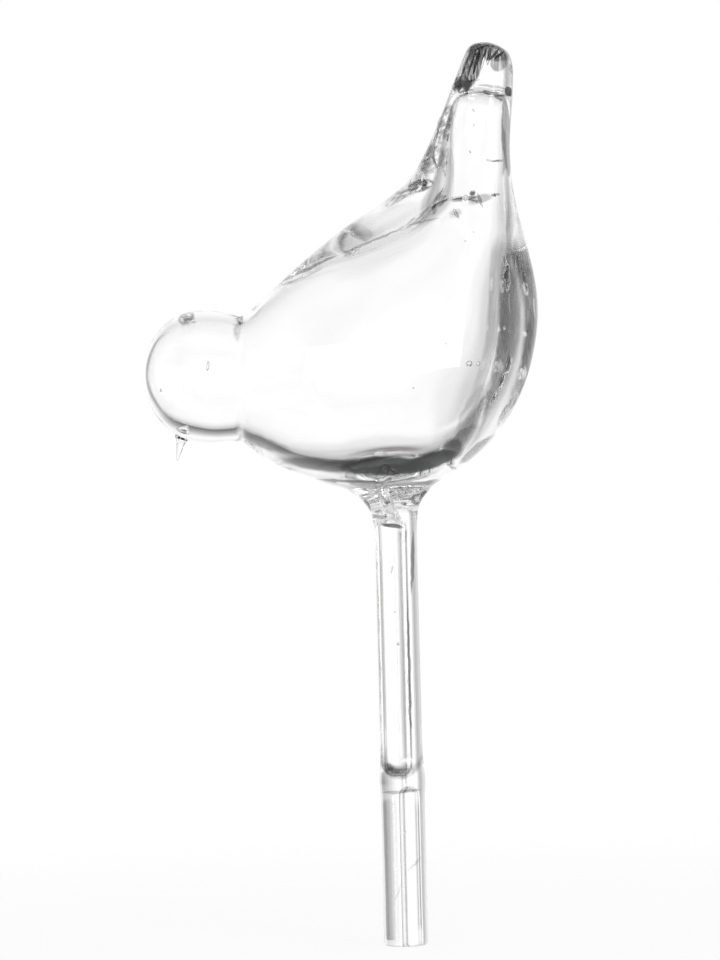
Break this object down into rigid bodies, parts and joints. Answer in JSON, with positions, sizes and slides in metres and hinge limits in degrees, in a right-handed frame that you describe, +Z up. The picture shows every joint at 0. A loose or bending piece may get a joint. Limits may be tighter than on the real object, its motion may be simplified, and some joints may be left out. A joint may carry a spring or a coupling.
{
  "type": "plant watering globe",
  "caption": "Hollow bird-shaped watering globe in clear blown glass, with a round head, a raised tail and a long open stem that is pushed into the soil.",
  "frame": {"origin": "centre of the stem's open mouth", "axes": "+Z up the stem towards the bird, -X the way the bird looks, the XZ plane is the mirror plane"},
  "size_m": [0.1081, 0.067, 0.2461],
  "materials": {
    "clear_glass": "polished, clear blown glass"
  },
  "bodies": {
    "root": {"head": "clear_glass", "beak": "clear_glass", "body": "clear_glass", "tail": "clear_glass", "tail_tip": "clear_glass", "stem_collar": "clear_glass", "upper_stem": "clear_glass", "drip_weld": "clear_glass", "lower_stem": "clear_glass"}
  },
  "joints": []
}
